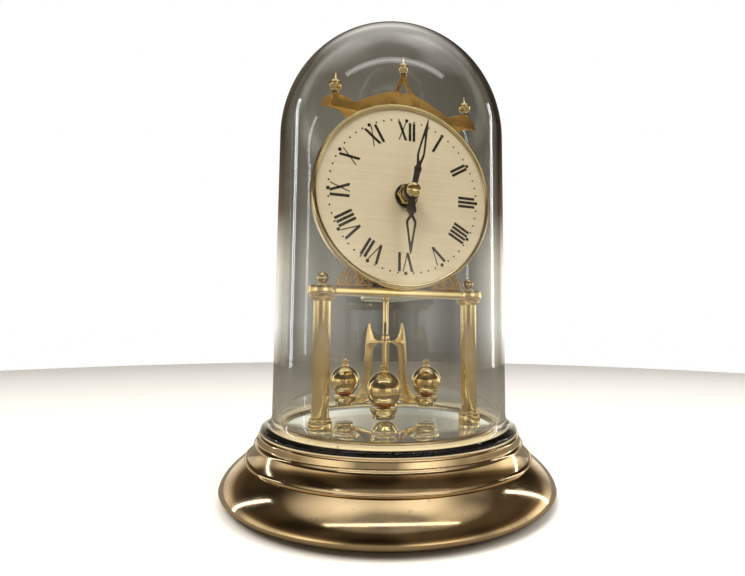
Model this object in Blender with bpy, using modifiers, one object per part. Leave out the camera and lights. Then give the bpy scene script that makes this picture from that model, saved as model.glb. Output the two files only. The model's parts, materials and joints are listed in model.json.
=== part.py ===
"""Anniversary clock: a quartz mantel clock under a glass dome, with a rotating three-ball pendulum.

Lengths are in millimetres and are turned into metres by the helpers. The origin is the centre of
the underside of the base, +Z is up, and the dial faces -Y.
"""

import math

import bmesh
import bpy

MM = 0.001
GAP = 0.3                       # air between pieces that touch on the real clock

# Driving dimensions
BASE_R = 78.0                   # widest radius of the base
BASE_WIDEST_Z = 5.1
SEAT_Z = 27.9                   # where the dome's flange rests
PLATE_Z = 30.0                  # top of the mirror plate
PLATE_R = 50.0
DOME_R = 56.2
DOME_TOP_Z = 226.3
DOME_WALL = 2.0
DOME_FLANGE_R = 61.2
COLUMN_X = 36.4
COLUMN_Y = -15.05
SHAFT_R = 3.9
ROD_R = 1.2
BEAM_Z = 90.5                   # underside of the beam
BEAM_THICK = 3.9
BEAM_END_R = 6.6
DIAL_Y = -23.6                  # plane of the dial's face
DIAL_Z = 137.0
BEZEL_R = 43.5
PEDIMENT_Y = -18.8              # front of the pediment plate
SHEET = 0.8                     # dial and pediment sheet metal
PENDULUM_Y = 7.8
ARM_R = 25.7                    # from the pendulum's axis to a ball's centre
BALL_R = 8.1
BALL_Z = 47.5
SUSPENSION_R = 1.45             # rod that the pendulum hangs on
SUSPENSION_TOP = 106.0
BALL_ANGLES = {"front": -107.8, "right": 12.2, "left": 132.2}
MINUTE_ANGLE = 12.0             # clockwise from twelve
HOUR_ANGLE = 181.0
CASE_SIZE = 56.0                # square movement case
CASE_DEPTH = 17.0
CASE_WALL = 1.5
BATTERY_R = 7.25                # AA cell
BATTERY_LENGTH = 50.5
BUSH_R = 3.5                    # threaded bush that clamps dial and movement
NUT_R = 5.2                     # across the corners of the nut on it
CORE_THICK = 6.0                # block under the mirror that the columns are bolted to
ROD_NUT_R = 3.0
ROD_NUT_HIGH = 2.9

# Derived places. Heights along the dial's axis run from the dial's face towards the front.
BEAM_TOP = BEAM_Z + BEAM_THICK
MIRROR_THICK = 1.4
CORE_TOP = PLATE_Z - MIRROR_THICK - 0.4
CORE_UNDERSIDE = CORE_TOP - CORE_THICK
CASE_FRONT_Y = PEDIMENT_Y + SHEET + GAP
CASE_FRONT_H = DIAL_Y - CASE_FRONT_Y
INSIDE_H = CASE_FRONT_H - CASE_WALL
BATTERY_Z = DIAL_Z - 18.0
MOTION_DISTANCE = 9.8           # between the centre arbor and the minute wheel's arbor
TRAIN_DISTANCE = 8.55           # between neighbouring arbors of the reduction train
INTERMEDIATE_AT = (TRAIN_DISTANCE, 0.0)
ROTOR_AT = (TRAIN_DISTANCE * (1 + math.cos(math.radians(60))),
            TRAIN_DISTANCE * math.sin(math.radians(60)))

MATERIALS = {                   # colour, roughness, metallic
    "base_brass": ((0.62, 0.45, 0.24), 0.12, 1.0),
    "polished_brass": ((0.86, 0.66, 0.33), 0.10, 1.0),
    "satin_brass": ((0.66, 0.45, 0.18), 0.35, 1.0),
    "pale_gold": ((0.88, 0.76, 0.50), 0.12, 1.0),
    "glass": ((0.93, 0.97, 0.97), 0.02, 0.0),
    "mirror": ((0.90, 0.93, 0.90), 0.03, 1.0),
    "dial": ((0.84, 0.74, 0.55), 0.45, 0.0),
    "black_paint": ((0.02, 0.02, 0.02), 0.35, 0.0),
    "black_plastic": ((0.03, 0.03, 0.035), 0.45, 0.0),
    "white_plastic": ((0.80, 0.80, 0.77), 0.45, 0.0),
    "steel": ((0.62, 0.62, 0.62), 0.25, 1.0),
    "copper": ((0.75, 0.36, 0.16), 0.30, 1.0),
    "circuit_board": ((0.04, 0.25, 0.10), 0.50, 0.0),
    "battery": ((0.10, 0.12, 0.16), 0.30, 0.0),
    "felt": ((0.03, 0.12, 0.07), 0.95, 0.0),
    "board": ((0.30, 0.22, 0.15), 0.85, 0.0),
}

FACE_FRONT = (math.radians(90.0), 0.0, 0.0)     # local +Z points to -Y, local +Y points up


# Helpers

def clear_scene():
    for old in list(bpy.data.objects):
        bpy.data.objects.remove(old, do_unlink=True)


def make_collection(name):
    collection = bpy.data.collections.new(name)
    bpy.context.scene.collection.children.link(collection)
    return collection


def make_materials():
    for name, (colour, roughness, metallic) in MATERIALS.items():
        material = bpy.data.materials.new(name)
        material.use_nodes = True
        shader = material.node_tree.nodes["Principled BSDF"]
        shader.inputs["Base Color"].default_value = (*colour, 1.0)
        shader.inputs["Roughness"].default_value = roughness
        shader.inputs["Metallic"].default_value = metallic
        if name == "glass":
            shader.inputs["Transmission Weight"].default_value = 1.0


def place(name, data, material, at, rotation, parent=None):
    """Puts mesh or curve data into the scene as a named part."""
    part = bpy.data.objects.new(name, data)
    data.materials.append(bpy.data.materials[material])
    part.location = [v * MM for v in at]
    part.rotation_euler = rotation
    clock.objects.link(part)
    if parent:
        attach(part, parent)
    return part


def attach(part, parent):
    bpy.context.view_layer.update()
    part.parent = parent
    part.matrix_parent_inverse = parent.matrix_world.inverted()


def axis_empty(name, at):
    """An empty on a joint's axis, which carries the pieces that turn about it."""
    empty = bpy.data.objects.new(name, None)
    empty.location = [v * MM for v in at]
    clock.objects.link(empty)
    bpy.context.view_layer.update()
    return empty


def turned(name, profile, material, at=(0, 0, 0), steps=24, closed=False, rotation=(0, 0, 0), parent=None):
    """A turned piece from (radius, height) points, down the outer side. closed makes a ring."""
    mesh = bpy.data.meshes.new(name)
    points = [(r * MM, 0.0, h * MM) for r, h in profile]
    edges = [(i, i + 1) for i in range(len(points) - 1)]
    if closed:
        edges.append((len(points) - 1, 0))
    mesh.from_pydata(points, edges, [])
    part = place(name, mesh, material, at, rotation, parent)
    screw = part.modifiers.new("turn", "SCREW")
    screw.steps = screw.render_steps = steps
    screw.use_merge_vertices = True
    screw.merge_threshold = 0.00001
    screw.use_smooth_shade = True
    return part


def plate(name, loops, thickness, material, at=(0, 0, 0), rotation=(0, 0, 0), parent=None):
    """A flat piece from closed outlines, the first one outside and the others holes, with `at`
    in the middle of its thickness."""
    curve = bpy.data.curves.new(name, "CURVE")
    curve.dimensions = "2D"
    curve.fill_mode = "BOTH"
    curve.extrude = thickness / 2 * MM
    for loop in loops:
        spline = curve.splines.new("POLY")
        spline.points.add(len(loop) - 1)
        for point, (x, y) in zip(spline.points, loop):
            point.co = (x * MM, y * MM, 0.0, 1.0)
        spline.use_cyclic_u = True
    return place(name, curve, material, at, rotation, parent)


def box_mesh(size):
    mesh = bpy.data.meshes.new("box")
    bm = bmesh.new()
    bmesh.ops.create_cube(bm, size=1.0)
    bmesh.ops.scale(bm, vec=[s * MM for s in size], verts=bm.verts)
    bm.to_mesh(mesh)
    bm.free()
    return mesh


def prism_mesh(outline, low, high):
    """A flat outline stretched from height low to height high."""
    mesh = bpy.data.meshes.new("prism")
    bm = bmesh.new()
    face = bm.faces.new([bm.verts.new((x * MM, y * MM, low * MM)) for x, y in outline])
    raised = bmesh.ops.extrude_face_region(bm, geom=[face])["geom"]
    top = [v for v in raised if isinstance(v, bmesh.types.BMVert)]
    bmesh.ops.translate(bm, vec=(0, 0, (high - low) * MM), verts=top)
    bmesh.ops.recalc_face_normals(bm, faces=bm.faces)
    bm.to_mesh(mesh)
    bm.free()
    return mesh


def box(name, size, material, at, parent=None):
    return place(name, box_mesh(size), material, at, (0, 0, 0), parent)


def carve(part, mesh, operation="DIFFERENCE", at=None):
    """Cuts a mesh out of a part, or joins it to the part, in the part's own axes."""
    helper = bpy.data.objects.new(part.name + "_helper", mesh)
    helper.location = [v * MM for v in at] if at else part.location
    helper.rotation_euler = part.rotation_euler
    helper.display_type = "WIRE"
    helper.hide_render = True
    cutters.objects.link(helper)
    boolean = part.modifiers.new(operation.lower(), "BOOLEAN")
    boolean.operation = operation
    boolean.solver = "EXACT"
    boolean.object = helper


def arc(centre, radius, start, end, count):
    """Points on an arc, angles in degrees."""
    points = []
    for i in range(count):
        angle = math.radians(start + (end - start) * i / (count - 1))
        points.append((centre[0] + radius * math.cos(angle), centre[1] + radius * math.sin(angle)))
    return points


def circle(radius, count=24, centre=(0, 0)):
    return arc(centre, radius, 0, 360, count + 1)[:-1]


def bend(start, corner, end, count):
    """Points on a smooth bend from start to end, pulled towards corner; start is left out."""
    points = []
    for i in range(1, count + 1):
        t = i / count
        points.append(tuple((1 - t) ** 2 * a + 2 * t * (1 - t) * b + t * t * c
                            for a, b, c in zip(start, corner, end)))
    return points


def mirrored(half):
    """Closes a right-hand half outline with its mirror image."""
    return half + [(-x, y) for x, y in reversed(half) if abs(x) > 0.001]


def ring(outer, inner, bottom, top):
    """Closed profile of a plain ring or tube."""
    return [(outer, top), (outer, bottom), (inner, bottom), (inner, top)]


def gear_outline(teeth, module, thin=0.40):
    """Straight-sided teeth, `thin` of a pitch wide where they mesh, so they run with backlash."""
    pitch_r = teeth * module / 2
    step = 2 * math.pi / teeth
    outline = []
    for tooth in range(teeth):
        for offset, radius in ((-0.27, -1.15), (0.08 - thin / 2, 0.85), (thin / 2 - 0.08, 0.85), (0.27, -1.15)):
            angle = (tooth + offset) * step
            r = pitch_r + radius * module
            outline.append((r * math.cos(angle), r * math.sin(angle)))
    return outline


def turn(points, degrees):
    c, s = math.cos(math.radians(degrees)), math.sin(math.radians(degrees))
    return [(c * x - s * y, s * x + c * y) for x, y in points]


# Base

def base_profile():
    """Section of the spun base: outside from the ledge under the mirror to the bottom rim, then back
    along the inside."""
    rim = [(46.0, 28.0), (50.6, 28.0), (50.6, 30.3), (51.2, 30.9), (52.2, 30.9), (53.0, 30.4), (53.3, SEAT_Z)]
    upper = [(DOME_FLANGE_R, SEAT_Z), (61.9, 27.4), (62.4, 24.4), (63.5, 23.8)]
    cove = bend(upper[-1], (64.4, 20.3), (66.3, 18.0), 2)
    bead = [(67.4, 17.5), (67.8, 16.9), (67.5, 16.3)]
    bulge = bend(bead[-1], (76.8, 10.4), (BASE_R, BASE_WIDEST_Z), 5)
    foot = bend(bulge[-1], (76.8, 2.2), (71.0, 0.9), 3)
    inside = [(70.8, 2.0), (75.2, 3.8), (76.8, 5.6), (74.0, 9.6), (66.0, 15.8), (61.4, 22.8), (60.9, 26.9),
              (46.0, 26.9)]
    return rim + upper + cove + bead + bulge + foot + inside


def rod_holes():
    return [circle(ROD_R + GAP, 12, (side * COLUMN_X, COLUMN_Y)) for side in (-1, 1)]


def make_base():
    turned("base_shell", base_profile(), "base_brass", steps=36, closed=True)
    turned("felt_ring", ring(70.0, 60.0, 0.0, 1.2), "felt", steps=32, closed=True)
    plate("bottom_plate", [circle(70.0, 32)], 1.5, "board", at=(0, 0, 2.3))
    plate("base_core", [circle(45.4, 32)] + rod_holes(), CORE_THICK, "black_plastic",
          at=(0, 0, CORE_UNDERSIDE + CORE_THICK / 2))
    plate("mirror_plate", [circle(PLATE_R, 48)] + rod_holes(), MIRROR_THICK, "mirror",
          at=(0, 0, PLATE_Z - MIRROR_THICK / 2))


def make_dome():
    centre = (0, DOME_TOP_Z - DOME_R)
    inner_r = DOME_R - DOME_WALL
    outside = [(0.0, DOME_TOP_Z)] + arc(centre, DOME_R, 80, 0, 8) + [(DOME_R, 36.0)]
    flare = bend(outside[-1], (DOME_R, 30.4), (DOME_FLANGE_R, 30.2), 3)
    flange = [(DOME_FLANGE_R, SEAT_Z + GAP), (inner_r + 1.2, SEAT_Z + GAP), (inner_r, 32.0)]
    inside = arc(centre, inner_r, 0, 80, 7) + [(0.0, DOME_TOP_Z - DOME_WALL)]
    turned("glass_dome", outside + flare + flange + inside, "glass", steps=36)


# Columns and beam

def make_columns():
    foot = PLATE_Z + GAP
    collar = BEAM_Z - GAP - 2.0
    bore = ROD_R + GAP
    nut_top = CORE_UNDERSIDE - GAP
    for name, side in (("left", -1), ("right", 1)):
        at = (side * COLUMN_X, COLUMN_Y, 0)
        plinth = [(4.4, foot + 5.9), (4.7, foot + 5.4), (4.7, foot + 4.3), (5.1, foot + 4.1), (5.3, foot + 3.6),
                  (5.3, foot), (bore, foot), (bore, foot + 5.9)]
        turned(f"plinth_{name}", plinth, "polished_brass", at, 16, closed=True)
        column = [(5.5, collar + 2.0), (5.85, collar + 1.5), (5.85, collar + 0.7), (4.9, collar),
                  (SHAFT_R, collar - 0.4), (SHAFT_R, foot + 6.2), (bore, foot + 6.2), (bore, collar + 2.0)]
        turned(f"column_{name}", column, "polished_brass", at, 16, closed=True)
        rod = [(0, BEAM_TOP), (ROD_R, BEAM_TOP), (ROD_R, nut_top), (ROD_NUT_R, nut_top),
               (ROD_NUT_R, nut_top - ROD_NUT_HIGH), (0, nut_top - ROD_NUT_HIGH)]
        turned(f"tie_rod_{name}", rod, "steel", at, 12)
        z = BEAM_TOP + GAP
        ball = arc((0, z + 3.4), 2.57, 90, -55, 6)
        turned(f"ball_finial_{name}", ball + [(1.2, z + 0.9), (2.4, z + 0.5), (2.4, z), (0, z)],
               "polished_brass", at, 12)


def beam_outline():
    """Bar between the columns with round ends, and a round tongue at the back for the pendulum."""
    half_width = 3.6
    end = arc((COLUMN_X, COLUMN_Y), BEAM_END_R, -147, 147, 15)
    back = bend((24.0, COLUMN_Y + half_width), (14.0, COLUMN_Y + half_width), (13.0, PENDULUM_Y - 3.0), 5)
    tongue = arc((0, PENDULUM_Y), 13.0, 0, 90, 6)
    return mirrored([(0.0, COLUMN_Y - half_width)] + end + [(24.0, COLUMN_Y + half_width)] + back + tongue)


def make_beam():
    pendulum_hole = circle(2.5, 16, (0, PENDULUM_Y))
    plate("beam", [beam_outline(), pendulum_hole] + rod_holes(), BEAM_THICK, "polished_brass",
          at=(0, 0, BEAM_Z + BEAM_THICK / 2))
    scroll = [(29.5, 0.0), (30.6, 2.2), (28.6, 4.0), (27.6, 6.8), (24.8, 7.2), (23.0, 4.9), (19.4, 3.9),
              (16.4, 2.2), (14.6, 0.0)]
    eyes = [circle(1.5, 10, (27.2, 2.7)), circle(1.2, 10, (23.6, 2.4)), circle(0.9, 10, (19.8, 1.8))]
    for name, side in (("left", -1), ("right", 1)):
        loops = [[(side * x, y) for x, y in loop] for loop in [scroll] + eyes]
        plate(f"scroll_{name}", loops, 1.0, "satin_brass", rotation=FACE_FRONT,
              at=(0, PEDIMENT_Y + 0.5, BEAM_TOP + GAP))


# Dial

def pediment_outline():
    """Right half, from the top of the centre spire out over the lobe and back under the dial."""
    spire = [(0.0, 61.0), (1.6, 60.6), (2.4, 58.6), (3.4, 55.6), (5.9, 52.3)]
    band = bend(spire[-1], (15.0, 49.0), (23.8, 43.7), 6)
    lobe = bend(band[-1], (28.0, 46.4), (33.0, 46.2), 4) + bend((33.0, 46.2), (38.6, 45.6), (39.5, 39.4), 5)
    under = bend(lobe[-1], (29.5, 40.6), (26.5, 34.0), 5)
    web = [(21.0, 29.0), (9.0, 10.0)] + arc((0, 0), 9.0, 0, -90, 6)
    return mirrored(spire + band + lobe + under + web)


def spire_opening():
    return [(0.0, 58.2), (-1.3, 55.5), (-2.4, 52.7), (0.0, 52.0), (2.4, 52.7), (1.3, 55.5)]


def finial(name, x, z, width):
    """A bulb finial on a short stalk with a spike; width scales the bulb."""
    profile = [(0, 10.8), (0.35, 9.2), (0.9, 7.6), (1.0 * width, 6.7), (2.2 * width, 5.9), (3.0 * width, 4.6),
               (2.7 * width, 3.2), (1.6 * width, 2.1), (1.2, 1.5), (1.8, 0.9), (1.8, 0.0), (0, 0)]
    turned(name, profile, "polished_brass", at=(x, PEDIMENT_Y + SHEET / 2, z), steps=12)


def make_dial():
    rim = [(43.1, 1.0), (BEZEL_R, 0.2), (BEZEL_R, -4.4), (42.9, -4.4), (42.9, GAP), (41.2, GAP),
           (41.5, 0.9), (42.4, 1.3)]
    turned("bezel", rim, "pale_gold", (0, DIAL_Y, DIAL_Z), 48, closed=True, rotation=FACE_FRONT)
    bush_hole = circle(BUSH_R + GAP, 16)
    plate("dial_plate", [circle(42.5, 48), bush_hole], SHEET, "dial",
          at=(0, DIAL_Y + SHEET / 2, DIAL_Z), rotation=FACE_FRONT)
    plate("pediment", [pediment_outline(), spire_opening(), bush_hole], SHEET, "satin_brass",
          at=(0, PEDIMENT_Y + SHEET / 2, DIAL_Z), rotation=FACE_FRONT)
    finial("finial_left", -33.0, DIAL_Z + 46.5, 1.0)
    finial("finial_right", 33.0, DIAL_Z + 46.5, 1.0)
    finial("finial_centre", 0.0, DIAL_Z + 61.3, 0.85)


def hand_outline(edge, hub_r):
    """Closed outline of a hand along +Y from (half width, distance) points, with a round hub."""
    return mirrored(arc((0, 0), hub_r, -90, 60, 8) + edge)


def make_hands(minute_axis, hour_axis):
    minute = [(1.35, 4.2), (1.75, 10.2), (1.1, 12.2), (1.85, 16.8), (1.2, 24.5), (0.35, 33.0), (0.0, 35.3)]
    minute_slot = [(0.0, 13.6), (0.95, 17.0), (0.55, 23.0), (0.0, 27.0)]
    hour = [(1.7, 4.2), (2.3, 8.6), (1.0, 10.8), (2.5, 13.8), (1.3, 21.0), (0.4, 27.4), (0.0, 28.8)]
    hour_slot = [(0.0, 11.8), (1.4, 14.2), (0.6, 20.0), (0.0, 23.2)]
    for name, axis, edge, slot, bore, hub_r, angle, height in (
            ("minute_hand", minute_axis, minute, minute_slot, 1.4, 3.0, MINUTE_ANGLE, 9.5),
            ("hour_hand", hour_axis, hour, hour_slot, 2.7, 3.8, HOUR_ANGLE, 7.6)):
        loops = [hand_outline(edge, hub_r), mirrored(slot), circle(bore, 16)]
        plate(name, [turn(loop, -angle) for loop in loops], 0.5, "black_paint",
              at=(0, DIAL_Y - height, DIAL_Z), rotation=FACE_FRONT, parent=axis)


def make_dial_fixing(minute_axis):
    at = (0, DIAL_Y, DIAL_Z)
    turned("threaded_bush", ring(BUSH_R, 2.9, CASE_FRONT_H + GAP, 4.4), "polished_brass", at, 20,
           closed=True, rotation=FACE_FRONT)
    turned("dial_washer", ring(NUT_R + 0.4, BUSH_R + GAP, GAP, 0.9), "black_paint", at, 24, closed=True,
           rotation=FACE_FRONT)
    plate("dial_nut", [circle(NUT_R, 6), circle(BUSH_R + GAP, 16)], 2.6, "polished_brass",
          at=(0, DIAL_Y - 2.5, DIAL_Z), rotation=FACE_FRONT)
    cap = [(0, 12.3), (2.0, 12.1), (3.0, 11.5), (3.3, 10.6), (3.3, 10.1), (1.4, 10.1), (1.4, 11.2), (0, 11.2)]
    turned("hand_nut", cap, "polished_brass", at, 20, rotation=FACE_FRONT, parent=minute_axis)


# Movement

def wheel(name, material, centre, stages, bore, parent):
    """A wheel of one or more stages (outline, low, high) on one arbor, with an optional bore."""
    at = (centre[0], DIAL_Y, DIAL_Z + centre[1])
    part = place(name, prism_mesh(*stages[0]), material, at, FACE_FRONT)
    for stage in stages[1:]:
        carve(part, prism_mesh(*stage), "UNION")
    if bore:
        low = min(stage[1] for stage in stages) - 1.0
        high = max(stage[2] for stage in stages) + 1.0
        carve(part, prism_mesh(circle(bore, 12), low, high))
    attach(part, parent)


def make_motion_work(minute_axis, hour_axis, setting_axis):
    """The 12:1 gearing between the hands: 12 teeth into 36, then 10 into 40."""
    first = (MOTION_DISTANCE - 0.1) * 2 / (12 + 36)
    second = (MOTION_DISTANCE - 0.1) * 2 / (10 + 40)
    upper = (INSIDE_H - 1.8, INSIDE_H - 0.6)        # level of the hour wheel
    lower = (INSIDE_H - 4.0, INSIDE_H - 2.6)        # level of the minute wheel
    wheel("hour_wheel", "white_plastic", (0, 0),
          [(turn(gear_outline(40, second), 90 + 4.5), *upper), (circle(2.4, 16), upper[0] + 0.2, 8.4)],
          1.5, hour_axis)
    wheel("cannon_pinion", "steel", (0, 0),
          [(turn(gear_outline(12, first), 90), *lower), (circle(1.1, 12), INSIDE_H - 7.0, 10.9)],
          None, minute_axis)
    wheel("minute_wheel", "white_plastic", (0, MOTION_DISTANCE),
          [(turn(gear_outline(36, first), 270 + 5), *lower),
           (turn(gear_outline(10, second), 270), lower[0] + 0.2, upper[1] - 0.1)],
          1.1, setting_axis)
    back = CASE_FRONT_H - CASE_DEPTH - 2.2           # just behind the rear cover
    knob = [(0, INSIDE_H - 0.5), (0.8, INSIDE_H - 0.5), (0.8, back), (4.6, back), (5.0, back - 0.5),
            (5.0, back - 3.0), (4.6, back - 3.4), (0, back - 3.4)]
    turned("setting_knob", knob, "black_plastic", (0, DIAL_Y, DIAL_Z + MOTION_DISTANCE), 20,
           rotation=FACE_FRONT, parent=setting_axis)


def make_train(minute_axis, intermediate_axis, rotor_axis):
    """Stepper rotor and two 5:1 reductions to the centre wheel."""
    module = (TRAIN_DISTANCE - 0.15) * 2 / (8 + 40)
    pinion, big = gear_outline(8, module), gear_outline(40, module)
    wheel("centre_wheel", "white_plastic", (0, 0), [(big, INSIDE_H - 6.0, INSIDE_H - 5.2)], 1.4, minute_axis)
    wheel("intermediate_wheel", "white_plastic", INTERMEDIATE_AT,
          [(turn(big, 60), INSIDE_H - 7.8, INSIDE_H - 7.0),
           (turn(pinion, 180 + 22.5), INSIDE_H - 8.2, INSIDE_H - 4.8)], None, intermediate_axis)
    wheel("rotor", "steel", ROTOR_AT,
          [(circle(3.2, 20), INSIDE_H - 11.2, INSIDE_H - 9.2),
           (turn(pinion, 240 + 22.5), INSIDE_H - 9.6, INSIDE_H - 6.6)], None, rotor_axis)
    stator = [(-5.0, -5.0), (5.0, -5.0), (5.0, 17.0), (-5.0, 17.0)]
    plate("stator", [stator, circle(3.7, 20)], 1.0, "steel", rotation=FACE_FRONT,
          at=(ROTOR_AT[0], DIAL_Y - (INSIDE_H - 10.2), DIAL_Z + ROTOR_AT[1]))
    turned("motor_coil", ring(3.3, 1.0, -11.0, 11.0), "copper", steps=16, closed=True,
           at=(-6.0, DIAL_Y - (INSIDE_H - 9.6), DIAL_Z + 21.0), rotation=(0, math.radians(90), 0))
    box("circuit_board", (16.0, 1.0, 22.0), "circuit_board", (-16.5, DIAL_Y - (INSIDE_H - 13.0), DIAL_Z + 3.0))


def make_case(door_axis):
    middle_y = CASE_FRONT_Y + CASE_DEPTH / 2
    case = box("movement_case", (CASE_SIZE, CASE_DEPTH, CASE_SIZE), "black_plastic", (0, middle_y, DIAL_Z))
    inner = CASE_SIZE - 2 * CASE_WALL
    carve(case, box_mesh((inner, CASE_DEPTH, inner)), at=(0, middle_y + CASE_WALL, DIAL_Z))
    carve(case, box_mesh((5.8, 4 * CASE_WALL, 5.8)), at=(0, CASE_FRONT_Y + CASE_WALL, DIAL_Z))
    cover_y = CASE_FRONT_Y + CASE_DEPTH + GAP + CASE_WALL / 2
    cover = box("movement_cover", (CASE_SIZE, CASE_WALL, CASE_SIZE), "black_plastic", (0, cover_y, DIAL_Z))
    carve(cover, box_mesh((BATTERY_LENGTH + 1, 4 * CASE_WALL, 2 * BATTERY_R)), at=(0, cover_y, BATTERY_Z))
    carve(cover, box_mesh((2.6, 4 * CASE_WALL, 2.6)), at=(0, cover_y, DIAL_Z + MOTION_DISTANCE))
    door_thick = 1.2
    box("battery_door", (54.0, door_thick, 17.0), "black_plastic",
        (0, cover_y + CASE_WALL / 2 + GAP + door_thick / 2, BATTERY_Z), parent=door_axis)
    battery_y = CASE_FRONT_Y + CASE_WALL + GAP + BATTERY_R
    half = BATTERY_LENGTH / 2
    cell = [(0, half), (2.6, half), (2.6, half - 1.2), (BATTERY_R, half - 1.2), (BATTERY_R, -half), (0, -half)]
    turned("battery", cell, "battery", (0, battery_y, BATTERY_Z), 20, rotation=(0, math.radians(90), 0))
    contact_x = half + GAP + 0.3
    box("contact_plate", (0.4, 8.0, 9.0), "steel", (contact_x, battery_y, BATTERY_Z))


def make_drive(pendulum_axis):
    """Stand under the movement, and the box above the beam that turns the pendulum."""
    low, high = BEAM_TOP + GAP, DIAL_Z - CASE_SIZE / 2 - GAP
    height, middle = high - low, (high + low) / 2
    box("movement_stand", (28.0, 10.6, height), "black_plastic", (0, CASE_FRONT_Y + 5.5, middle))
    drive = box("drive_case", (30.0, 23.4, height), "black_plastic", (0, 6.0, middle))
    carve(drive, box_mesh((27.0, 20.4, height)), at=(0, 6.0, middle - CASE_WALL))
    bridge = [(-13.2, -4.0), (13.2, -4.0), (13.2, 4.0), (-13.2, 4.0)]
    clear_of_rod = SUSPENSION_R + GAP
    plate("suspension_bridge", [bridge, circle(clear_of_rod, 12)], 1.2, "steel",
          at=(0, PENDULUM_Y, SUSPENSION_TOP - 2.0))
    turned("drive_coil", ring(3.2, 1.2, low + 1.8, low + 7.8), "copper", (9.4, PENDULUM_Y, 0), 16,
           closed=True)
    turned("drive_magnet", ring(5.0, clear_of_rod, low + 3.3, low + 6.3), "steel", (0, PENDULUM_Y, 0),
           20, closed=True, parent=pendulum_axis)


# Pendulum

def blade_outline():
    """(radius, height) outline of a fin with its pointed top and the arm that sweeps out to a cup."""
    tip = (9.9, 78.9)
    outer = [(11.6, 71.5), (12.6, 60.0), (12.7, 53.0)]
    arm_top = bend(outer[-1], (13.8, 44.0), (18.9, 39.2), 5)
    arm_under = bend((19.9, 36.0), (11.5, 35.8), (7.4, 38.6), 5)
    inner = [(7.4, 42.0), (8.2, 46.0), (8.2, 60.0), (7.2, 66.6), (2.9, 68.3), (2.9, 69.6), (5.6, 70.3),
             (7.6, 73.0)]
    return [tip] + outer + arm_top + [(19.9, 36.0)] + arm_under + inner


def make_pendulum(axis):
    at = (0, PENDULUM_Y, 0)
    head_r, rod_end = 2.6, 72.4
    rod = [(0, SUSPENSION_TOP), (head_r, SUSPENSION_TOP), (head_r, SUSPENSION_TOP - 1.0),
           (SUSPENSION_R, SUSPENSION_TOP - 1.0), (SUSPENSION_R, rod_end), (0, rod_end)]
    turned("suspension_rod", rod, "polished_brass", at, 14, parent=axis)
    hub = [(0, 72.0), (1.95, 72.0), (2.6, 69.6), (2.6, 68.3), (1.95, 67.6), (1.95, 41.0), (4.5, 39.4),
           (6.8, 38.2), (7.0, 36.2), (5.0, 33.2), (3.0, 31.9), (0, 31.6)]
    turned("pendulum_hub", hub, "polished_brass", at, 14, parent=axis)
    cup = [(0, 39.05), (2.0, 39.3), (3.6, 39.9), (6.2, 39.9), (6.6, 39.5), (6.3, 38.6), (5.4, 36.2),
           (4.95, 34.9), (4.6, 34.6), (0, 34.6)]
    knob = [(0, 59.5), (1.3, 59.2), (1.75, 58.5), (1.5, 57.6), (1.15, 57.1), (1.7, 56.3)]
    ball = knob + arc((0, BALL_Z), BALL_R, 79, -90, 9)
    for name, angle in BALL_ANGLES.items():
        x = ARM_R * math.cos(math.radians(angle))
        y = PENDULUM_Y + ARM_R * math.sin(math.radians(angle))
        turned(f"cup_{name}", cup, "polished_brass", (x, y, 0), 14, parent=axis)
        turned(f"ball_{name}", ball, "polished_brass", (x, y, 0), 14, parent=axis)
        plate(f"blade_{name}", [blade_outline()], 1.2, "polished_brass", at,
              (math.radians(90), 0, math.radians(angle)), parent=axis)


def main():
    make_materials()
    dial_at = (0, DIAL_Y, DIAL_Z)
    minute_axis = axis_empty("minute_axis", dial_at)
    hour_axis = axis_empty("hour_axis", dial_at)
    setting_axis = axis_empty("setting_axis", (0, DIAL_Y, DIAL_Z + MOTION_DISTANCE))
    intermediate_axis = axis_empty(
        "intermediate_axis", (INTERMEDIATE_AT[0], DIAL_Y, DIAL_Z + INTERMEDIATE_AT[1]))
    rotor_axis = axis_empty("rotor_axis", (ROTOR_AT[0], DIAL_Y, DIAL_Z + ROTOR_AT[1]))
    pendulum_axis = axis_empty("pendulum_axis", (0, PENDULUM_Y, BEAM_Z))
    door_axis = axis_empty("door_axis", (0, 0, BATTERY_Z))
    make_base()
    make_dome()
    make_columns()
    make_beam()
    make_dial()
    make_hands(minute_axis, hour_axis)
    make_dial_fixing(minute_axis)
    make_motion_work(minute_axis, hour_axis, setting_axis)
    make_train(minute_axis, intermediate_axis, rotor_axis)
    make_case(door_axis)
    make_drive(pendulum_axis)
    make_pendulum(pendulum_axis)


clear_scene()
clock = make_collection("anniversary_clock")
cutters = make_collection("cutters")
cutters.hide_render = True
main()
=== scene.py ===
"""Anniversary clock: fine surfaces, materials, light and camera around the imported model."""

import json
import math

import bmesh
import bpy
from mathutils import Matrix, Vector


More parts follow.
